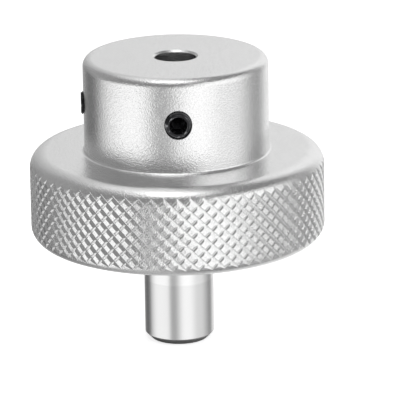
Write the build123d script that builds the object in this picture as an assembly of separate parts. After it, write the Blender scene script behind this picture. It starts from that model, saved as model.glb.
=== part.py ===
from build123d import *

import math
import os

# A knurled aluminium handwheel for a small machine shaft, in millimetres. It stands on the end
# of its spigot: the origin is the centre of that end, and +Z runs up the turning axis to the hub.

# Wheel: a wide knurled rim and a plain hub, turned from one bar
rim_diameter = 45.0
rim_width = 13.7
rim_upper_round = 2.5
rim_lower_round = 2.3
hub_diameter = 28.2
hub_height = 14.6
hub_end_round = 1.3
hub_root_round = 0.4
bore_diameter = 6.35
bore_chamfer = 0.3

# Spigot: a turned pin whose thinner shank is pressed into a socket under the wheel
spigot_diameter = 10.65
spigot_length = 16.4
spigot_chamfer = 1.0
shank_diameter = 8.0
shank_length = 8.0
shank_lead = 0.4

# Grub screws: two M4 hexagon socket set screws with cup points, at right angles in the hub
screw_diameter = 4.0
screw_pitch = 0.7
screw_length = 6.0
screw_end_chamfer = 0.45
screw_height = 7.6
screw_stand_out = 0.35
socket_width = 2.0
socket_depth = 2.0
cup_diameter = 2.0
point_angle = 120.0

# ISO metric thread form, as shares of the pitch, and how far the cutter passes the crest
thread_depth_share = 0.6134
thread_crest_share = 0.125
thread_flank_angle = 30.0
thread_cutter_overlap = 0.05

# Tapped holes for the grub screws, bored to clear the thread's crests
screw_hole_clearance = 0.05
screw_hole_countersink = 0.3

# Directions in which the two screws point out of the hub
front = (0, -1, 0)
side = (-1, 0, 0)

# Radii and heights that follow from the sizes above
rim_radius = rim_diameter / 2
hub_radius = hub_diameter / 2
bore_radius = bore_diameter / 2
spigot_radius = spigot_diameter / 2
shank_radius = shank_diameter / 2
screw_radius = screw_diameter / 2
screw_hole_radius = screw_radius + screw_hole_clearance
wheel_bottom = spigot_length
shank_top = wheel_bottom + shank_length
rim_top = wheel_bottom + rim_width
hub_top = rim_top + hub_height
screw_axis_height = rim_top + screw_height


def nearest_corner(profile, x, y):
    """The corner of a flat profile that lies nearest to a point."""
    return profile.vertices().sort_by_distance((x, y, 0))[0]


def turned(profile):
    """A profile of radius against height, turned about the Z axis."""
    return revolve(Plane.XZ * profile, Axis.Z)


def wheel_blank():
    """The rim and hub as they come off the lathe, with the bore and the spigot's socket."""
    profile = make_face(
        Polyline(
            (shank_radius, wheel_bottom),
            (rim_radius, wheel_bottom),
            (rim_radius, rim_top),
            (hub_radius, rim_top),
            (hub_radius, hub_top),
            (bore_radius, hub_top),
            (bore_radius, shank_top),
            (shank_radius, shank_top),
            close=True,
        )
    )
    profile = fillet(nearest_corner(profile, rim_radius, wheel_bottom), rim_lower_round)
    profile = fillet(nearest_corner(profile, rim_radius, rim_top), rim_upper_round)
    profile = fillet(nearest_corner(profile, hub_radius, rim_top), hub_root_round)
    profile = fillet(nearest_corner(profile, hub_radius, hub_top), hub_end_round)
    profile = chamfer(nearest_corner(profile, bore_radius, hub_top), bore_chamfer)
    return turned(profile)


def screw_hole(direction):
    """The cutter for one tapped hole: from the wheel's axis out past the hub, countersunk."""
    hole = Cylinder(
        screw_hole_radius,
        rim_radius,
        align=(Align.CENTER, Align.CENTER, Align.MIN),
    )
    countersink = Cone(
        screw_hole_radius,
        screw_hole_radius + 2 * screw_hole_countersink,
        2 * screw_hole_countersink,
    )
    cutter = hole + Pos(0, 0, hub_radius) * countersink
    return Plane(origin=(0, 0, screw_axis_height), z_dir=direction) * cutter


def knurled_wheel():
    """The wheel, its rim band standing at the diameter over the knurl."""
    return wheel_blank() - screw_hole(front) - screw_hole(side)


def spigot():
    """The pin under the wheel, from its chamfered end up to the top of its pressed shank."""
    profile = make_face(
        Polyline(
            (0, 0),
            (spigot_radius, 0),
            (spigot_radius, spigot_length),
            (shank_radius, spigot_length),
            (shank_radius, shank_top),
            (0, shank_top),
            close=True,
        )
    )
    profile = chamfer(nearest_corner(profile, spigot_radius, 0), spigot_chamfer)
    profile = chamfer(nearest_corner(profile, shank_radius, shank_top), shank_lead)
    return turned(profile)


def thread_grooves():
    """The thread's V grooves, drawn as rings one pitch apart between the end chamfers."""
    depth = thread_depth_share * screw_pitch
    slope = math.tan(math.radians(thread_flank_angle))
    half_at_crest = (1 - thread_crest_share) * screw_pitch / 2
    half_at_root = half_at_crest - depth * slope
    half_outside = half_at_crest + thread_cutter_overlap * slope
    section = make_face(
        Polyline(
            (screw_radius - depth, -half_at_root),
            (screw_radius + thread_cutter_overlap, -half_outside),
            (screw_radius + thread_cutter_overlap, half_outside),
            (screw_radius - depth, half_at_root),
            close=True,
        )
    )
    ring = turned(section)
    count = int((screw_length - 2 * screw_end_chamfer) / screw_pitch)
    first = -(screw_length + (count - 1) * screw_pitch) / 2
    return [Pos(0, 0, first + i * screw_pitch) * ring for i in range(count)]


def drill_point(diameter):
    """A cone of the drill's point angle that narrows downwards from z = 0."""
    depth = diameter / 2 / math.tan(math.radians(point_angle / 2))
    return Cone(0, diameter / 2, depth, align=(Align.CENTER, Align.CENTER, Align.MAX))


def grub_screw(direction):
    """One set screw in its hole, its socket end just proud of the hub and its cup point inside."""
    blank = Cylinder(screw_radius, screw_length, align=(Align.CENTER, Align.CENTER, Align.MAX))
    blank = chamfer(blank.edges().filter_by(GeomType.CIRCLE), screw_end_chamfer)
    hexagon = RegularPolygon(socket_width / 2, 6, major_radius=False)
    socket = extrude(hexagon, -socket_depth) + Pos(0, 0, -socket_depth) * drill_point(socket_width)
    cup = Pos(0, 0, -screw_length) * Rot(180, 0, 0) * drill_point(cup_diameter)
    screw = blank - thread_grooves() - socket - cup
    outer_end = Vector(direction) * (hub_radius + screw_stand_out)
    seat = Plane(origin=outer_end + Vector(0, 0, screw_axis_height), z_dir=direction)
    return seat * screw


os.makedirs("parts", exist_ok=True)
export_step(knurled_wheel(), "parts/knurled_wheel.step")
export_step(spigot(), "parts/spigot.step")
export_step(grub_screw(front), "parts/front_grub_screw.step")
export_step(grub_screw(side), "parts/side_grub_screw.step")
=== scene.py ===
"""Looks of a small machine handwheel: knurled aluminium wheel, steel spigot, two set screws."""

import logging
import math
from dataclasses import dataclass, field
from enum import Enum
from typing import Any, Sequence

import bmesh
import bpy
from mathutils import Matrix, Vector


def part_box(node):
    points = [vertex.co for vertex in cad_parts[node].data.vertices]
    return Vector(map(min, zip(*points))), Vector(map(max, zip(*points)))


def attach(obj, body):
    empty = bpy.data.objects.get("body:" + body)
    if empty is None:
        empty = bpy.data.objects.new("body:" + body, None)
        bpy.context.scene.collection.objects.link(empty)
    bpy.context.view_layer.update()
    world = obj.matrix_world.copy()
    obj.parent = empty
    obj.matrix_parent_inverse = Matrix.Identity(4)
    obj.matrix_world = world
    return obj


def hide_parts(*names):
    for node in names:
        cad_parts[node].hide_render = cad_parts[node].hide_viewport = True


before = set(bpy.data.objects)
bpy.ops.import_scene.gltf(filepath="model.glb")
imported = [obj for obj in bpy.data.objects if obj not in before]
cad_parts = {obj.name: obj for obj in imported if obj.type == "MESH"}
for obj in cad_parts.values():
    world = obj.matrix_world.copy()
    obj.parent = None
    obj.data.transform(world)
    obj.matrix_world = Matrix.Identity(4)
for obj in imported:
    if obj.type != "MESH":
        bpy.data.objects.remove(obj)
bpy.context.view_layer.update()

LOG = logging.getLogger("handwheel")

# All sizes in the classes below are millimetres and degrees; the scene itself is in metres
MM = 0.001

# Fineness of round shapes: degrees per step of an arc, and the thin ring beside each arc
# that keeps the shading of the flats next to it flat
ARC_STEP = 9.0
ARC_SUPPORT = 0.04

# Two faces that meet at more than this many degrees show a crisp edge
CRISP_EDGE = 22.0

# Most values of a noise pattern lie between these two
NOISE_LOW = 0.3
NOISE_HIGH = 0.7

WHITE = "#FFFFFF"


class Cut(Enum):
    """How two solids are combined."""

    REMOVE = "DIFFERENCE"
    KEEP_SHARED = "INTERSECT"


class ScrewSide(Enum):
    """The two set screws, each with the turn about the wheel's axis from the front one."""

    FRONT = ("front", 0.0)
    SIDE = ("side", -90.0)

    @property
    def label(self) -> str:
        """The word that names this screw's pieces."""
        return self.value[0]

    @property
    def turn(self) -> float:
        """Degrees about +Z from the front screw to this one."""
        return self.value[1]


@dataclass(frozen=True)
class Corner:
    """One corner of a turned outline, with the radius that rounds it."""

    radius: float
    height: float
    round: float = 0.0


def node_box(name: str) -> tuple[Vector, Vector]:
    """A CAD node's lowest and highest corners in millimetres.

    Args:
        name: The node's name.

    Returns:
        The two corners.
    """
    low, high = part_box(name)
    return Vector(low) / MM, Vector(high) / MM


def rounded_outline(corners: Sequence[Corner], closed: bool) -> list[Vector]:
    """Replace each rounded corner of an outline by its arc.

    Args:
        corners: The outline's corners in order, as radius and height.
        closed: True if the last corner joins the first.

    Returns:
        The outline's points as 2-D vectors.
    """
    points: list[Vector] = []
    count = len(corners)
    for index, corner in enumerate(corners):
        here = Vector((corner.radius, corner.height))
        if corner.round == 0.0 or (not closed and index in (0, count - 1)):
            points.append(here)
            continue
        ahead = corners[(index + 1) % count]
        behind = corners[index - 1]
        back = (Vector((behind.radius, behind.height)) - here).normalized()
        onward = (Vector((ahead.radius, ahead.height)) - here).normalized()
        half_angle = back.angle(onward) / 2
        reach = corner.round / math.tan(half_angle)
        centre = here + (back + onward).normalized() * (corner.round / math.sin(half_angle))
        first = here + back * reach - centre
        last = here + onward * reach - centre
        turn = math.atan2(first.x * last.y - first.y * last.x, first.dot(last))
        steps = max(2, round(abs(math.degrees(turn)) / ARC_STEP))
        points.append(centre + first + back * ARC_SUPPORT)
        for step in range(steps + 1):
            points.append(centre + Matrix.Rotation(turn * step / steps, 2) @ first)
        points.append(centre + last + onward * ARC_SUPPORT)
    return points


def solid_from(name: str, vertices: Sequence[Vector], faces: Sequence[Sequence[int]]) -> bpy.types.Object:
    """Make a closed mesh object, with its faces turned outwards.

    Args:
        name: The object's name.
        vertices: Points in millimetres.
        faces: Indices of each face's points.

    Returns:
        The object, linked to the scene, with its mesh in metres.
    """
    mesh = bpy.data.meshes.new(name)
    mesh.from_pydata([vertex * MM for vertex in vertices], [], faces)
    work = bmesh.new()
    work.from_mesh(mesh)
    bmesh.ops.recalc_face_normals(work, faces=work.faces)
    work.to_mesh(mesh)
    work.free()
    piece = bpy.data.objects.new(name, mesh)
    bpy.context.scene.collection.objects.link(piece)
    return piece


def turned_solid(name: str, outline: Sequence[Vector], segments: int) -> bpy.types.Object:
    """Turn an outline about the Z axis into a closed solid.

    Args:
        name: The object's name.
        outline: Points as radius and height. An outline whose ends lie on the axis is closed by
            them, and any other is taken as a ring's closed section.
        segments: Number of steps round the axis.

    Returns:
        The solid.
    """
    on_axis = outline[0].x == 0.0 and outline[-1].x == 0.0
    rim = outline[1:-1] if on_axis else outline
    count = len(rim)
    vertices: list[Vector] = []
    for step in range(segments):
        angle = math.tau * step / segments
        for point in rim:
            vertices.append(Vector((point.x * math.cos(angle), point.x * math.sin(angle), point.y)))
    faces: list[tuple[int, ...]] = []
    for step in range(segments):
        here = step * count
        there = (step + 1) % segments * count
        for index in range(count - 1 if on_axis else count):
            after = (index + 1) % count
            faces.append((here + index, there + index, there + after, here + after))
        if on_axis:
            faces.append((segments * count, there, here))
            faces.append((segments * count + 1, here + count - 1, there + count - 1))
    if on_axis:
        vertices.append(Vector((0.0, 0.0, outline[0].y)))
        vertices.append(Vector((0.0, 0.0, outline[-1].y)))
    return solid_from(name, vertices, faces)


def combine(piece: bpy.types.Object, tool: bpy.types.Object, cut: Cut) -> None:
    """Cut one closed solid with another, which is used up.

    Args:
        piece: The solid that stays.
        tool: The solid that cuts it.
        cut: What is kept.
    """
    modifier = piece.modifiers.new("cut", "BOOLEAN")
    modifier.operation = cut.value
    modifier.solver = "MANIFOLD"
    modifier.object = tool
    graph = bpy.context.evaluated_depsgraph_get()
    before = piece.data
    piece.data = bpy.data.meshes.new_from_object(piece.evaluated_get(graph))
    piece.data.name = before.name
    piece.modifiers.clear()
    bpy.data.meshes.remove(before)
    spent = tool.data
    bpy.data.objects.remove(tool)
    bpy.data.meshes.remove(spent)


def smooth(piece: bpy.types.Object) -> None:
    """Shade a piece smooth, apart from its crisp edges."""
    piece.data.shade_smooth()
    piece.data.set_sharp_from_angle(angle=math.radians(CRISP_EDGE))


def paint(piece: bpy.types.Object, material: bpy.types.Material) -> None:
    """Give a whole piece one material."""
    piece.data.materials.clear()
    piece.data.materials.append(material)


def finish_colour(code: str) -> tuple[float, float, float, float]:
    """Turn an sRGB hex colour into Blender's linear one.

    Args:
        code: Six hex digits after a hash.

    Returns:
        Linear red, green, blue and alpha.
    """
    channels = [int(code[start : start + 2], 16) / 255 for start in (1, 3, 5)]
    red, green, blue = (
        value / 12.92 if value <= 0.04045 else ((value + 0.055) / 1.055) ** 2.4 for value in channels
    )
    return red, green, blue, 1.0


def add_node(
    tree: bpy.types.NodeTree,
    kind: str,
    settings: dict[str, Any] | None = None,
    inputs: dict[str | int, Any] | None = None,
) -> bpy.types.Node:
    """Add one shader node with its settings, values and links.

    Args:
        tree: The node tree.
        kind: The node's type name.
        settings: Values for the node's own properties.
        inputs: For each input, a value or the output socket that feeds it.

    Returns:
        The node.
    """
    node = tree.nodes.new(kind)
    for name, value in (settings or {}).items():
        setattr(node, name, value)
    for name, value in (inputs or {}).items():
        if isinstance(value, bpy.types.NodeSocket):
            tree.links.new(value, node.inputs[name])
        else:
            node.inputs[name].default_value = value
    return node


def new_finish(name: str) -> tuple[bpy.types.Material, bpy.types.NodeTree]:
    """Start an empty node material.

    Args:
        name: The material's name.

    Returns:
        The material and its node tree.
    """
    material = bpy.data.materials.new(name)
    material.use_nodes = True
    material.node_tree.nodes.clear()
    return material, material.node_tree


@dataclass(frozen=True)
class BlastedAnodisedAluminium:
    """Aluminium, bead-blasted and clear anodised.

    The blast leaves fine dimples that break reflections into a soft satin sheen with a fine
    even grain, and the clear film keeps it pale and neutral.
    """

    colour: str = "#F8F8F8"
    # Painted shade: the floors of the dimples are coloured darker, standing in for the shade that falls in
    # them
    painted_dimple_shade: str = "#D7D7D7"
    roughness: float = 0.20
    # A blasting bead of about 0.1 mm leaves dimples under 0.1 mm, drawn 0.2 mm wide so that they show
    dimple_width: float = 0.20
    dimple_depth: float = 0.045
    # Long soft waves in the film's thickness, some millimetres across
    cloud_width: float = 6.0
    roughness_swing: float = 0.03

    def material(self) -> bpy.types.Material:
        """Build the finish.

        Returns:
            The material.
        """
        material, tree = new_finish("blasted_anodised_aluminium")
        place = add_node(tree, "ShaderNodeTexCoord").outputs["Object"]
        dimples = add_node(
            tree,
            "ShaderNodeTexNoise",
            inputs={"Vector": place, "Scale": 1 / (self.dimple_width * MM), "Detail": 1.5, "Roughness": 0.5},
        )
        clouds = add_node(
            tree,
            "ShaderNodeTexNoise",
            inputs={"Vector": place, "Scale": 1 / (self.cloud_width * MM), "Detail": 2.0},
        )
        roughness = add_node(
            tree,
            "ShaderNodeMapRange",
            inputs={
                "Value": clouds.outputs["Fac"],
                "From Min": NOISE_LOW,
                "From Max": NOISE_HIGH,
                "To Min": self.roughness - self.roughness_swing,
                "To Max": self.roughness + self.roughness_swing,
            },
        )
        # The dimples' floors take the painted shade, and the lands between them take the pale colour
        tone = add_node(
            tree,
            "ShaderNodeMix",
            {"data_type": "RGBA"},
            {
                "Factor": dimples.outputs["Fac"],
                6: finish_colour(self.painted_dimple_shade),
                7: finish_colour(self.colour),
            },
        )
        bump = add_node(
            tree,
            "ShaderNodeBump",
            inputs={"Height": dimples.outputs["Fac"], "Strength": 1.0, "Distance": self.dimple_depth * MM},
        )
        surface = add_node(
            tree,
            "ShaderNodeBsdfPrincipled",
            inputs={
                "Base Color": tone.outputs[2],
                "Metallic": 1.0,
                "Roughness": roughness.outputs["Result"],
                "Normal": bump.outputs["Normal"],
            },
        )
        add_node(tree, "ShaderNodeOutputMaterial", inputs={"Surface": surface.outputs["BSDF"]})
        return material


@dataclass(frozen=True)
class FineTurnedSteel:
    """Bright steel, finish turned.

    The tool leaves fine rings round the axis, which draw reflections out along it and give the
    pin its clean upright streaks.
    """

    # Tones from the pin's end upwards, each with the height where it starts: painted shade on the chamfer,
    # standing in for the shadowed floor it reflects close under it, then the finished length, and the paler
    # band under the wheel
    tones_and_painted_shade: tuple[tuple[float, str], ...] = ((0.0, "#9C9C9C"), (0.8, "#E0E0E0"), (9.6, "#E9E9E9"))
    shade_edge: float = 0.2
    roughness: float = 0.21
    # A finishing feed of about 0.08 mm a turn, drawn 0.3 mm apart so that the rings show
    ring_spacing: float = 0.30
    ring_depth: float = 0.002
    anisotropy: float = 0.5

    def material(self) -> bpy.types.Material:
        """Build the finish.

        Returns:
            The material.
        """
        material, tree = new_finish("fine_turned_steel")
        place = add_node(tree, "ShaderNodeTexCoord").outputs["Object"]
        height = add_node(tree, "ShaderNodeSeparateXYZ", inputs={"Vector": place}).outputs["Z"]
        along = add_node(tree, "ShaderNodeCombineXYZ", inputs={"Z": height}).outputs["Vector"]
        rings = add_node(
            tree,
            "ShaderNodeTexNoise",
            inputs={"Vector": along, "Scale": 1 / (self.ring_spacing * MM), "Detail": 3.0},
        )
        bump = add_node(
            tree,
            "ShaderNodeBump",
            inputs={"Height": rings.outputs["Fac"], "Strength": 1.0, "Distance": self.ring_depth * MM},
        )
        # The first tone is the chamfer's painted shade; each later tone blends in above its height
        tone: Any = finish_colour(self.tones_and_painted_shade[0][1])
        for start, colour in self.tones_and_painted_shade[1:]:
            reached = add_node(
                tree,
                "ShaderNodeMapRange",
                inputs={
                    "Value": height,
                    "From Min": start * MM,
                    "From Max": (start + self.shade_edge) * MM,
                },
            )
            tone = add_node(
                tree,
                "ShaderNodeMix",
                {"data_type": "RGBA"},
                {"Factor": reached.outputs["Result"], 6: tone, 7: finish_colour(colour)},
            ).outputs[2]
        around = add_node(tree, "ShaderNodeTangent", {"direction_type": "RADIAL", "axis": "Z"})
        surface = add_node(
            tree,
            "ShaderNodeBsdfPrincipled",
            inputs={
                "Base Color": tone,
                "Metallic": 1.0,
                "Roughness": self.roughness,
                "Anisotropic": self.anisotropy,
                "Tangent": around.outputs["Tangent"],
                "Normal": bump.outputs["Normal"],
            },
        )
        add_node(tree, "ShaderNodeOutputMaterial", inputs={"Surface": surface.outputs["BSDF"]})
        return material


@dataclass(frozen=True)
class BlackOxideSteel:
    """Hardened steel, blackened in an oxide bath and oiled.

    The thin oxide is near black with a soft dark-grey sheen and a little patchy. Its sharpest edges are worn
    and also painted lighter as a painted highlight, so that they catch light.
    """

    colour: str = "#2D2D2F"
    worn_colour: str = "#444446"
    roughness: float = 0.38
    # The oxide's patches are a few tenths of a millimetre across
    patch_width: float = 0.5
    # Handling wears the oxide off the sharpest edges, down to grey steel, and the edges are painted lighter
    # still as a painted highlight where they catch light. Where a flat face has a pointiness of 0.5, the
    # lighter edge starts and is full at these two values
    worn_and_highlight_edge_colour: str = "#909092"
    lighter_edge_start: float = 0.52
    lighter_edge_full: float = 0.60

    def material(self) -> bpy.types.Material:
        """Build the finish.

        Returns:
            The material.
        """
        material, tree = new_finish("black_oxide_steel")
        place = add_node(tree, "ShaderNodeTexCoord").outputs["Object"]
        patches = add_node(
            tree,
            "ShaderNodeTexNoise",
            inputs={"Vector": place, "Scale": 1 / (self.patch_width * MM), "Detail": 4.0},
        )
        tone = add_node(
            tree,
            "ShaderNodeMix",
            {"data_type": "RGBA"},
            {
                "Factor": patches.outputs["Fac"],
                6: finish_colour(self.colour),
                7: finish_colour(self.worn_colour),
            },
        )
        edges = add_node(
            tree,
            "ShaderNodeMapRange",
            inputs={
                "Value": add_node(tree, "ShaderNodeNewGeometry").outputs["Pointiness"],
                "From Min": self.lighter_edge_start,
                "From Max": self.lighter_edge_full,
            },
        )
        # Sharp edges take the colour of worn steel with a painted highlight
        tone = add_node(
            tree,
            "ShaderNodeMix",
            {"data_type": "RGBA"},
            {"Factor": edges.outputs["Result"], 6: tone.outputs[2], 7: finish_colour(self.worn_and_highlight_edge_colour)},
        )
        surface = add_node(
            tree,
            "ShaderNodeBsdfPrincipled",
            inputs={"Base Color": tone.outputs[2], "Metallic": 1.0, "Roughness": self.roughness},
        )
        add_node(tree, "ShaderNodeOutputMaterial", inputs={"Surface": surface.outputs["BSDF"]})
        return material


@dataclass(frozen=True)
class KnurlGroove:
    """One family of parallel knurl grooves, its widths given as shares of the knurl's pitch."""

    centre: float
    fall: float
    rise: float
    depth: float
    # Width of the small flat along the root
    flat: float = 0.05

    def stations(self, other_depth: float) -> list[tuple[float, float]]:
        """Where the profile bends within one pitch, each with its depth in millimetres.

        Args:
            other_depth: Depth of the grooves that cross this one. A wall that runs deeper has a
                bend there too, so that the crossing's edges follow the net.

        Returns:
            Pairs of a place across the groove, in pitches, and a depth.
        """
        start = self.centre - self.fall
        end = self.centre + self.rise
        bends = [(start, 0.0), (self.centre - self.flat / 2, self.depth)]
        bends += [(self.centre + self.flat / 2, self.depth), (end, 0.0)]
        if other_depth < self.depth:
            share = other_depth / self.depth
            bends.insert(1, (start + share * (self.fall - self.flat / 2), other_depth))
            bends.insert(4, (end - share * (self.rise - self.flat / 2), other_depth))
        return bends


@dataclass
class MetricThread:
    """An ISO metric thread as a helical surface, its outer end at height zero."""

    diameter: float = 4.0
    pitch: float = 0.7
    # The form's depth and its crest's width, as shares of the pitch
    depth_share: float = 0.6134
    crest_share: float = 0.125
    flank_angle: float = 30.0
    steps: int = 40

    def stations(self, radius: float) -> list[tuple[float, float]]:
        """Where the form bends along one pitch, each with its radius.

        Args:
            radius: The crests' radius.

        Returns:
            Pairs of a share of the pitch and a radius.
        """
        half_crest = self.crest_share / 2
        half_root = half_crest + self.depth_share * math.tan(math.radians(self.flank_angle))
        root = radius - self.depth_share * self.pitch
        return [(-half_crest, radius), (half_crest, radius), (half_root, root), (1 - half_root, root)]

    def rod(self, name: str, radius: float, low: float, high: float) -> bpy.types.Object:
        """A right-hand threaded rod about the Z axis that runs at least from low to high.

        Args:
            name: The object's name.
            radius: The crests' radius.
            low: Height that the rod's lower end passes.
            high: Height that the rod's upper end passes.

        Returns:
            The closed rod.
        """
        form = self.stations(radius)
        per_turn = len(form)
        # The ends rise by a turn, so the rod starts two turns early and stops a turn late
        first = math.floor(low / self.pitch) - 2
        rows = (math.ceil(high / self.pitch) + 1 - first) * per_turn
        vertices: list[Vector] = []
        for column in range(self.steps):
            angle = math.tau * column / self.steps
            for row in range(rows):
                share, reach = form[row % per_turn]
                height = (first + row // per_turn + share + column / self.steps) * self.pitch
                vertices.append(Vector((reach * math.cos(angle), reach * math.sin(angle), height)))
        faces: list[tuple[int, ...]] = []
        for column in range(self.steps):
            last = column == self.steps - 1
            here = column * rows
            there = per_turn if last else here + rows
            for row in range(rows - 1 - (per_turn if last else 0)):
                faces.append((here + row, there + row, there + row + 1, here + row + 1))
        end_of_last = self.steps * rows - 1
        lower = [column * rows for column in range(self.steps)] + list(range(per_turn, 0, -1))
        upper = [column * rows + rows - 1 for column in range(self.steps)]
        upper += [end_of_last - step for step in range(1, per_turn + 1)]
        for loop in (lower, upper):
            middle = sum((vertices[spot].z for spot in loop), 0.0) / len(loop)
            vertices.append(Vector((0.0, 0.0, middle)))
            for step, spot in enumerate(loop):
                faces.append((len(vertices) - 1, spot, loop[(step + 1) % len(loop)]))
        return solid_from(name, vertices, faces)


@dataclass
class SetScrew:
    """An M4 hexagon socket set screw with a cup point, and the tapped hole that takes it."""

    finish: BlackOxideSteel
    thread: MetricThread = field(default_factory=MetricThread)
    length: float = 6.0
    # The crests lie this far inside the nominal diameter
    crest_skim: float = 0.02
    end_chamfer: float = 0.4
    edge_round: float = 0.08
    socket_width: float = 2.0
    socket_depth: float = 2.0
    # The socket's mouth narrows to the hexagon, this much deeper than it is wide
    entry_diameter: float = 2.7
    entry_steepness: float = 2.5
    cup_diameter: float = 2.0
    point_angle: float = 120.0
    stand_out: float = 0.35
    hole_clearance: float = 0.05
    # The thread fills the hole's outer part; deeper in, the hole is bored clear of the crests
    tapped_depth: float = 4.4
    countersink: float = 0.3
    # How far a cutter reaches past the face it cuts
    overrun: float = 1.0
    segments: int = 72

    @property
    def radius(self) -> float:
        """Radius of the thread's crests."""
        return self.thread.diameter / 2 - self.crest_skim

    def envelope(self) -> bpy.types.Object:
        """The turned shape that trims the threaded rod: end chamfers, socket mouth and cup.

        Returns:
            The shape, with its outer end at height zero.
        """
        outer = self.thread.diameter / 2 + self.crest_skim
        face = self.thread.diameter / 2 - self.end_chamfer
        slope = outer - face
        cup = self.cup_diameter / 2
        cup_depth = cup / math.tan(math.radians(self.point_angle / 2))
        mouth = self.entry_diameter / 2
        mouth_depth = self.entry_steepness * (mouth - self.socket_width / 2)
        corners = [
            Corner(0.0, cup_depth - self.length),
            Corner(cup, -self.length),
            Corner(face, -self.length),
            Corner(outer, slope - self.length),
            Corner(outer, -slope),
            Corner(face, 0.0, self.edge_round),
            Corner(mouth, 0.0, self.edge_round),
            Corner(self.socket_width / 2, -mouth_depth),
            Corner(0.0, -mouth_depth),
        ]
        return turned_solid("screw_envelope", rounded_outline(corners, closed=False), self.segments)

    def hexagon(self) -> bpy.types.Object:
        """The cutter for the hexagon socket, with the drilled cone below it.

        Returns:
            The cutter.
        """
        corner = self.socket_width / 2 / math.cos(math.pi / 6)
        cone = corner / math.tan(math.radians(self.point_angle / 2))
        vertices = [Vector((0.0, 0.0, -self.socket_depth - cone))]
        for height in (-self.socket_depth, self.overrun):
            for step in range(6):
                angle = math.tau * step / 6
                vertices.append(Vector((corner * math.cos(angle), corner * math.sin(angle), height)))
        faces: list[tuple[int, ...]] = [tuple(range(7, 13))]
        for step in range(6):
            after = (step + 1) % 6
            faces.append((0, 1 + after, 1 + step))
            faces.append((1 + step, 1 + after, 7 + after, 7 + step))
        return solid_from("hexagon_cutter", vertices, faces)

    def place(self, piece: bpy.types.Object, side: ScrewSide, hub_radius: float, height: float) -> None:
        """Turn a shape from the screw's own axis to its place in the hub.

        Args:
            piece: The shape, made with its outer end at height zero.
            side: Which of the two screws.
            hub_radius: Radius of the hub.
            height: Height of the screw's axis.
        """
        outwards = Matrix(((1, 0, 0, 0), (0, 0, -1, 0), (0, 1, 0, 0), (0, 0, 0, 1)))
        seat = Matrix.Translation(Vector((0.0, -(hub_radius + self.stand_out), height)) * MM)
        turn = Matrix.Rotation(math.radians(side.turn), 4, "Z")
        piece.data.transform(turn @ seat @ outwards)

    def build(self, side: ScrewSide, hub_radius: float, height: float) -> bpy.types.Object:
        """Make one screw in its place.

        Args:
            side: Which of the two screws.
            hub_radius: Radius of the hub.
            height: Height of the screw's axis.

        Returns:
            The screw.
        """
        screw = self.thread.rod(f"{side.label}_set_screw", self.radius, -self.length, 0.0)
        combine(screw, self.envelope(), Cut.KEEP_SHARED)
        combine(screw, self.hexagon(), Cut.REMOVE)
        self.place(screw, side, hub_radius, height)
        smooth(screw)
        return screw

    def hole_cutters(self, side: ScrewSide, hub_radius: float, height: float) -> list[bpy.types.Object]:
        """The tapped hole for one screw: its thread, the bored inner part and the countersink.

        Args:
            side: Which of the two screws.
            hub_radius: Radius of the hub.
            height: Height of the hole's axis.

        Returns:
            The cutters in their place.
        """
        clear = self.thread.diameter / 2 + self.hole_clearance
        surface = -self.stand_out
        tap_end = surface - self.tapped_depth
        tap = self.thread.rod("tap", self.radius + self.hole_clearance, tap_end, self.overrun)
        mouth = turned_solid(
            "countersink",
            [
                Vector((0.0, surface - clear)),
                Vector((clear + self.countersink + self.overrun, surface + self.overrun)),
                Vector((0.0, surface + self.overrun)),
            ],
            self.segments,
        )
        bored = turned_solid(
            "bored_part",
            [
                Vector((0.0, -hub_radius)),
                Vector((clear, -hub_radius)),
                Vector((clear, tap_end)),
                Vector((0.0, tap_end)),
            ],
            self.segments,
        )
        cutters = [tap, mouth, bored]
        for cutter in cutters:
            self.place(cutter, side, hub_radius, height)
        return cutters

    def dress(self, screw: bpy.types.Object, side: ScrewSide) -> None:
        """Give a screw its finish and its body, and hide the CAD node it stands in for.

        Args:
            screw: The screw.
            side: Which of the two screws.
        """
        paint(screw, self.finish.material())
        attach(screw, f"{side.label}_screw")
        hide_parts(f"{side.label}_grub_screw")


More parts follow.
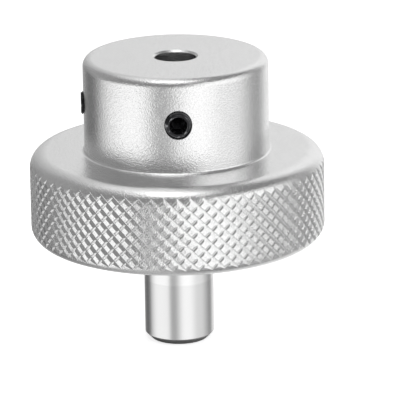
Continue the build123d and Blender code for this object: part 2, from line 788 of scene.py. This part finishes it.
@dataclass
class KnurledWheel:
    """The rim and hub, turned from one bar, with the knurled band and the tapped holes."""

    finish: BlastedAnodisedAluminium
    screw: SetScrew
    knurl_count: int = 71
    # The knurl's crests lie this far inside the rim's diameter
    knurl_skim: float = 0.02
    left_grooves: KnurlGroove = KnurlGroove(centre=0.50, fall=0.40, rise=0.15, depth=0.28)
    right_grooves: KnurlGroove = KnurlGroove(centre=0.10, fall=0.18, rise=0.18, depth=0.20)
    rim_width: float = 13.7
    rim_upper_round: float = 2.5
    rim_lower_round: float = 2.3
    hub_diameter: float = 28.2
    hub_end_round: float = 1.3
    hub_root_round: float = 0.4
    bore_diameter: float = 6.35
    bore_chamfer: float = 0.3
    socket_diameter: float = 8.0
    socket_height: float = 8.0
    segments: int = 288
    # How far the sleeve that cuts the knurl reaches past the rim
    outside: float = 0.6

    def __post_init__(self) -> None:
        """Take the main sizes from the CAD node."""
        low, high = node_box("knurled_wheel")
        self.rim_radius = high.x
        self.bottom = low.z
        self.top = high.z
        self.rim_top = self.bottom + self.rim_width
        self.hub_radius = self.hub_diameter / 2
        self.pitch = math.tau * self.rim_radius / self.knurl_count

    def blank(self) -> bpy.types.Object:
        """Turn the rim, hub, bore and the spigot's socket.

        Returns:
            The wheel before it is knurled and tapped.
        """
        bore = self.bore_diameter / 2
        socket = self.socket_diameter / 2
        socket_top = self.bottom + self.socket_height
        corners = [
            Corner(socket, self.bottom),
            Corner(self.rim_radius, self.bottom, self.rim_lower_round),
            Corner(self.rim_radius, self.rim_top, self.rim_upper_round),
            Corner(self.hub_radius, self.rim_top, self.hub_root_round),
            Corner(self.hub_radius, self.top, self.hub_end_round),
            Corner(bore + self.bore_chamfer, self.top),
            Corner(bore, self.top - self.bore_chamfer),
            Corner(bore, socket_top),
            Corner(socket, socket_top),
        ]
        return turned_solid("wheel_body", rounded_outline(corners, closed=True), self.segments)

    def knurl_point(self, left: float, right: float, depth: float) -> Vector:
        """A point of the knurled surface.

        Args:
            left: Place across the grooves that lean left, in pitches.
            right: Place across the grooves that lean right, in pitches.
            depth: How far the point lies below the crests.

        Returns:
            The point in millimetres.
        """
        around = (left + right) / 2 * self.pitch / self.rim_radius
        height = self.bottom + (self.rim_width + (left - right) * self.pitch) / 2
        radius = self.rim_radius - self.knurl_skim - depth
        return Vector((radius * math.sin(around), -radius * math.cos(around), height))

    def knurl_sleeve(self) -> bpy.types.Object:
        """Everything outside the knurl, as a closed sleeve that cuts the knurl into the blank.

        Its inner face is a net of helical lines that follow both families of grooves, so that
        each crest, wall and root is a strip of its own. Each turn of the net starts one pitch
        further on, which leaves a stepped edge at both ends, outside the blank.

        Returns:
            The sleeve.
        """
        left = self.left_grooves.stations(self.right_grooves.depth)
        right = self.right_grooves.stations(self.left_grooves.depth)
        across, along = len(left), len(right)
        half = math.ceil(self.rim_width / self.pitch)
        rows = 2 * half * along + 1
        vertices: list[Vector] = []
        depths: list[float] = []
        for turn in range(self.knurl_count):
            for left_share, left_depth in left:
                for row in range(rows):
                    right_share, right_depth = right[row % along]
                    place = turn - half + row // along + right_share
                    depths.append(max(left_depth, right_depth))
                    vertices.append(self.knurl_point(turn + left_share, place, depths[-1]))
        columns = self.knurl_count * across
        faces: list[tuple[int, ...]] = []
        upper: list[int] = []
        lower: list[int] = []
        for column in range(columns):
            first = column % across == 0
            last = column % across == across - 1
            here = column * rows
            there = (column + 1) % columns * rows - (along if last else 0)
            for row in range(along if last else 0, rows - 1):
                one, two, three, four = here + row, there + row, there + row + 1, here + row + 1
                # The crossing's edge runs down from the crest's corner, on the shallower diagonal
                if depths[one] + depths[three] > depths[two] + depths[four]:
                    one, two, three, four = two, three, four, one
                faces.append((one, two, three))
                faces.append((one, three, four))
            upper += [here + row for row in range(along + 1 if last else 1)]
            lower += [here + row for row in range(rows - 1 - along if first else rows - 1, rows)]
        return self.close_sleeve(vertices, faces, upper, lower, half * (across + along))

    def close_sleeve(
        self,
        vertices: list[Vector],
        faces: list[tuple[int, ...]],
        upper: list[int],
        lower: list[int],
        lag: int,
    ) -> bpy.types.Object:
        """Close the knurl's net with end faces and a wall outside the rim.

        Args:
            vertices: The net's points.
            faces: The net's faces.
            upper: The points of the net's upper edge, in order round the rim.
            lower: The points of its lower edge, in order round the rim.
            lag: How many places the lower edge runs ahead of the upper one.

        Returns:
            The sleeve.
        """
        lower = lower[-lag:] + lower[:-lag]
        reach = (self.rim_radius + self.outside) / self.rim_radius
        outer_upper = len(vertices)
        outer_lower = outer_upper + len(upper)
        for spot in upper + lower:
            point = vertices[spot]
            vertices.append(Vector((point.x * reach, point.y * reach, point.z)))
        count = len(upper)
        for step in range(count):
            after = (step + 1) % count
            faces.append((upper[step], upper[after], outer_upper + after, outer_upper + step))
            faces.append((lower[step], lower[after], outer_lower + after, outer_lower + step))
            faces.append((outer_upper + step, outer_upper + after, outer_lower + after, outer_lower + step))
        return solid_from("knurl_sleeve", vertices, faces)

    def build(self, screw_height: float) -> bpy.types.Object:
        """Make the whole wheel.

        Args:
            screw_height: Height of the set screws' axes.

        Returns:
            The wheel.
        """
        wheel = self.blank()
        combine(wheel, self.knurl_sleeve(), Cut.REMOVE)
        for side in ScrewSide:
            for cutter in self.screw.hole_cutters(side, self.hub_radius, screw_height):
                combine(wheel, cutter, Cut.REMOVE)
        smooth(wheel)
        return wheel

    def dress(self, wheel: bpy.types.Object) -> None:
        """Give the wheel its finish and its body, and hide the CAD node it stands in for.

        Args:
            wheel: The wheel.
        """
        paint(wheel, self.finish.material())
        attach(wheel, "wheel")
        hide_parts("knurled_wheel")


@dataclass
class Spigot:
    """The bright pin under the wheel, with the shank that is pressed into it."""

    finish: FineTurnedSteel
    length: float = 16.4
    chamfer: float = 1.0
    edge_round: float = 0.08
    shank_diameter: float = 8.0
    shank_lead: float = 0.4
    segments: int = 192

    def build(self) -> bpy.types.Object:
        """Turn the spigot.

        Returns:
            The spigot.
        """
        low, high = node_box("spigot")
        radius = high.x
        shank = self.shank_diameter / 2
        corners = [
            Corner(0.0, low.z),
            Corner(radius - self.chamfer, low.z, self.edge_round),
            Corner(radius, low.z + self.chamfer, self.edge_round),
            Corner(radius, self.length, self.edge_round),
            Corner(shank, self.length),
            Corner(shank, high.z - self.shank_lead),
            Corner(shank - self.shank_lead, high.z),
            Corner(0.0, high.z),
        ]
        spigot = turned_solid("spigot_pin", rounded_outline(corners, closed=False), self.segments)
        smooth(spigot)
        return spigot

    def dress(self, spigot: bpy.types.Object) -> None:
        """Give the spigot its finish and its body, and hide the CAD node it stands in for.

        Args:
            spigot: The spigot.
        """
        paint(spigot, self.finish.material())
        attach(spigot, "wheel")
        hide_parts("spigot")


@dataclass(frozen=True)
class PhotoView:
    """The photograph's viewpoint, in its 400 by 400 pixel frame."""

    frame_pixels: float = 400.0
    centre_x: float = 199.9
    centre_y: float = 200.075
    # Where the centre of the spigot's end falls
    origin_x: float = 179.78
    origin_y: float = 334.90
    elevation: float = 17.03
    roll: float = -0.843
    swing: float = -1.5
    distance: float = 580.3
    pixels_per_mm: float = 6.458
    sensor: float = 36.0
    # Nothing nearer or farther than this is drawn
    nearest: float = 10.0
    farthest: float = 20000.0

    def camera(self) -> bpy.types.Object:
        """Place the camera and make it the scene's.

        Returns:
            The camera.
        """
        focal = self.pixels_per_mm * self.distance
        tilt = math.radians(self.elevation)
        forward = Vector((0.0, math.cos(tilt), -math.sin(tilt)))
        upward = Vector((0.0, math.sin(tilt), math.cos(tilt)))
        sideways = Vector((1.0, 0.0, 0.0))
        roll = Matrix.Rotation(-math.radians(self.roll), 3, forward)
        upward = roll @ upward
        sideways = roll @ sideways
        offset_x = (self.origin_x - self.centre_x) / focal * self.distance
        offset_y = (self.centre_y - self.origin_y) / focal * self.distance
        place = -(sideways * offset_x + upward * offset_y + forward * self.distance) * MM
        axes = Matrix((sideways, upward, -forward)).transposed()
        data = bpy.data.cameras.new("photo_camera")
        data.sensor_width = self.sensor
        data.lens = self.sensor * focal / self.frame_pixels
        data.clip_start = self.nearest * MM
        data.clip_end = self.farthest * MM
        camera = bpy.data.objects.new("photo_camera", data)
        turn = Matrix.Rotation(math.radians(self.swing), 4, "Z")
        camera.matrix_world = turn @ Matrix.Translation(place) @ axes.to_4x4()
        bpy.context.scene.collection.objects.link(camera)
        bpy.context.scene.camera = camera
        return camera


@dataclass(frozen=True)
class SoftPanel:
    """A soft-edged patch of the studio round the object, brighter or dimmer than its neighbours.

    Azimuth is counted from the side that faces the camera, positive to the right, and elevation
    from the horizon. A level of 1 is white.
    """

    name: str
    azimuth: float
    half_width: float
    elevation: float
    half_height: float
    edge: float
    level: float


@dataclass(frozen=True)
class Studio:
    """A pale floor and a soft grey surround with brighter and dimmer panels."""

    swing: float
    base_level: float = 0.52
    floor_size: float = 6000.0
    floor_colour: str = "#F2F2F2"
    floor_glow: float = 0.72
    # How near the object has to be to close off the floor, and how steeply it does
    contact_reach: float = 1.8
    contact_power: float = 3.0
    panels: tuple[SoftPanel, ...] = (
        SoftPanel("table", 0, 200, -80, 25, 12, 0.55),
        SoftPanel("left_table", -70, 40, -28, 32, 4, 1.20),
        SoftPanel("left_flag", -150, 45, -25, 35, 28, 0.15),
        SoftPanel("front_gap", -17, 13, -8, 52, 8, 0.47),
        SoftPanel("right_softbox", 60, 33, 19, 39, 15, 1.18),
        SoftPanel("ceiling", 70, 65, 63, 27, 4, 0.21),
        SoftPanel("right_flag", 129, 18, -12, 48, 4, 0.35),
        SoftPanel("right_backdrop", 162, 26, 16, 76, 12, 1.00),
        SoftPanel("backdrop", 192, 10, 17, 77, 24, 0.68),
        SoftPanel("left_wall", -102, 33, 26, 34, 4, 0.35),
        SoftPanel("left_ceiling", -127, 43, 72, 19, 4, 0.90),
        SoftPanel("right_table", 25, 25, -19, 37, 16, 1.27),
        SoftPanel("right_ceiling", 115, 65, 65, 12, 10, 0.30),
        SoftPanel("camera_side", -32, 53, 22, 22, 6, 0.28),
        SoftPanel("low_right", 55, 60, -70, 12, 5, 0.25),
    )
    overhead_azimuth: float = -5.0
    overhead_elevation: float = 71.0
    overhead_distance: float = 600.0
    overhead_size: float = 425.0
    overhead_level: float = 1.22

    def floor(self) -> None:
        """Lay the pale floor that keeps the object's shadow."""
        material, tree = new_finish("pale_floor")
        paths = add_node(tree, "ShaderNodeLightPath")
        # Reflections lose the floor's glow where the object stands close over it
        contact = add_node(
            tree,
            "ShaderNodeAmbientOcclusion",
            inputs={"Distance": self.contact_reach * MM},
        )
        openness = add_node(
            tree, "ShaderNodeMath", {"operation": "POWER"}, {0: contact.outputs["AO"], 1: self.contact_power}
        )
        open_floor = add_node(
            tree,
            "ShaderNodeMath",
            {"operation": "MULTIPLY"},
            {0: openness.outputs["Value"], 1: paths.outputs["Is Glossy Ray"]},
        )
        seen = add_node(
            tree,
            "ShaderNodeMath",
            {"operation": "ADD", "use_clamp": True},
            {0: paths.outputs["Is Camera Ray"], 1: open_floor.outputs["Value"]},
        )
        seen = add_node(
            tree,
            "ShaderNodeMath",
            {"operation": "ADD", "use_clamp": True},
            {0: seen.outputs["Value"], 1: paths.outputs["Is Transmission Ray"]},
        )
        glow = add_node(
            tree,
            "ShaderNodeMath",
            {"operation": "MULTIPLY"},
            {0: seen.outputs["Value"], 1: self.floor_glow},
        )
        matt = add_node(tree, "ShaderNodeBsdfDiffuse", inputs={"Color": finish_colour(self.floor_colour)})
        light = add_node(
            tree,
            "ShaderNodeEmission",
            inputs={"Color": finish_colour(WHITE), "Strength": glow.outputs["Value"]},
        )
        both = add_node(
            tree,
            "ShaderNodeAddShader",
            inputs={0: matt.outputs["BSDF"], 1: light.outputs["Emission"]},
        )
        # Reflections see the surround through the open floor, and under the object its shade
        clear = add_node(tree, "ShaderNodeBsdfTransparent")
        shown = add_node(
            tree,
            "ShaderNodeMixShader",
            inputs={0: open_floor.outputs["Value"], 1: both.outputs["Shader"], 2: clear.outputs["BSDF"]},
        )
        add_node(tree, "ShaderNodeOutputMaterial", inputs={"Surface": shown.outputs["Shader"]})
        half = self.floor_size * MM / 2
        mesh = bpy.data.meshes.new("floor")
        mesh.from_pydata(
            [(-half, -half, 0.0), (half, -half, 0.0), (half, half, 0.0), (-half, half, 0.0)],
            [],
            [(0, 1, 2, 3)],
        )
        mesh.materials.append(material)
        floor = bpy.data.objects.new("floor", mesh)
        bpy.context.scene.collection.objects.link(floor)

    def window(
        self,
        tree: bpy.types.NodeTree,
        angle: bpy.types.NodeSocket,
        centre: float,
        half: float,
        edge: float,
    ) -> bpy.types.NodeSocket:
        """A soft step up and down along one angle.

        Args:
            tree: The world's node tree.
            angle: The angle in degrees.
            centre: The middle of the step.
            half: Half its width.
            edge: Half the width of each soft edge.

        Returns:
            A value that is 1 inside the step and 0 outside it.
        """
        off = add_node(tree, "ShaderNodeMath", {"operation": "SUBTRACT"}, {0: angle, 1: centre})
        off = add_node(
            tree, "ShaderNodeMath", {"operation": "WRAP"}, {0: off.outputs["Value"], 1: 180.0, 2: -180.0}
        )
        off = add_node(tree, "ShaderNodeMath", {"operation": "ABSOLUTE"}, {0: off.outputs["Value"]})
        step = add_node(
            tree,
            "ShaderNodeMapRange",
            {"interpolation_type": "SMOOTHSTEP"},
            {
                "Value": off.outputs["Value"],
                "From Min": half - edge,
                "From Max": half + edge,
                "To Min": 1.0,
                "To Max": 0.0,
            },
        )
        return step.outputs["Result"]

    def surround(self) -> None:
        """Paint the soft surround by direction."""
        world = bpy.data.worlds.new("soft_surround")
        bpy.context.scene.world = world
        world.use_nodes = True
        tree = world.node_tree
        tree.nodes.clear()
        direction = add_node(tree, "ShaderNodeTexCoord").outputs["Generated"]
        parts = add_node(tree, "ShaderNodeSeparateXYZ", inputs={"Vector": direction}).outputs
        toward = add_node(
            tree, "ShaderNodeMath", {"operation": "MULTIPLY"}, {0: parts["Y"], 1: -1.0}
        ).outputs["Value"]
        turn = add_node(
            tree, "ShaderNodeMath", {"operation": "ARCTAN2"}, {0: parts["X"], 1: toward}
        ).outputs["Value"]
        climb = add_node(tree, "ShaderNodeMath", {"operation": "ARCSINE"}, {0: parts["Z"]}).outputs["Value"]
        azimuth = add_node(
            tree,
            "ShaderNodeMath",
            {"operation": "MULTIPLY_ADD"},
            {0: turn, 1: math.degrees(1.0), 2: -self.swing},
        ).outputs["Value"]
        elevation = add_node(
            tree, "ShaderNodeMath", {"operation": "MULTIPLY"}, {0: climb, 1: math.degrees(1.0)}
        ).outputs["Value"]
        level: Any = self.base_level
        for panel in self.panels:
            wide = self.window(tree, azimuth, panel.azimuth, panel.half_width, panel.edge)
            tall = self.window(tree, elevation, panel.elevation, panel.half_height, panel.edge)
            share = add_node(tree, "ShaderNodeMath", {"operation": "MULTIPLY"}, {0: wide, 1: tall})
            level = add_node(
                tree,
                "ShaderNodeMix",
                {"data_type": "FLOAT"},
                {"Factor": share.outputs["Value"], 2: level, 3: panel.level},
            ).outputs[0]
        light = add_node(
            tree,
            "ShaderNodeBackground",
            inputs={"Color": finish_colour(WHITE), "Strength": level},
        )
        add_node(tree, "ShaderNodeOutputWorld", inputs={"Surface": light.outputs["Background"]})

    def overhead(self) -> None:
        """Hang the soft box above the object."""
        data = bpy.data.lights.new("overhead_softbox", "AREA")
        data.shape = "DISK"
        data.size = self.overhead_size * MM
        # An area lamp of this power shows the given level on its face
        area = math.pi * (data.size / 2) ** 2
        data.energy = self.overhead_level * math.pi * area
        lamp = bpy.data.objects.new("overhead_softbox", data)
        azimuth = math.radians(self.overhead_azimuth + self.swing)
        elevation = math.radians(self.overhead_elevation)
        toward = Vector(
            (
                math.sin(azimuth) * math.cos(elevation),
                -math.cos(azimuth) * math.cos(elevation),
                math.sin(elevation),
            )
        )
        lamp.location = toward * self.overhead_distance * MM
        lamp.rotation_euler = toward.to_track_quat("Z", "Y").to_euler()
        bpy.context.scene.collection.objects.link(lamp)

    def build(self) -> None:
        """Set up the floor, the surround and the overhead soft box."""
        self.floor()
        self.surround()
        self.overhead()
        bpy.context.scene.view_settings.view_transform = "Standard"


def main() -> None:
    """Build the camera, the studio and the pieces in order."""
    logging.basicConfig(level=logging.INFO, format="%(name)s: %(message)s")
    view = PhotoView()
    view.camera()
    Studio(swing=view.swing).build()
    low, high = node_box("front_grub_screw")
    screw_height = (low.z + high.z) / 2
    screw = SetScrew(finish=BlackOxideSteel())
    wheel = KnurledWheel(finish=BlastedAnodisedAluminium(), screw=screw)
    body = wheel.build(screw_height)
    wheel.dress(body)
    LOG.info("%s has %d faces", body.name, len(body.data.polygons))
    spigot = Spigot(finish=FineTurnedSteel())
    pin = spigot.build()
    spigot.dress(pin)
    LOG.info("%s has %d faces", pin.name, len(pin.data.polygons))
    for side in ScrewSide:
        piece = screw.build(side, wheel.hub_radius, screw_height)
        screw.dress(piece, side)
        LOG.info("%s has %d faces", piece.name, len(piece.data.polygons))


if __name__ == "__main__":
    main()
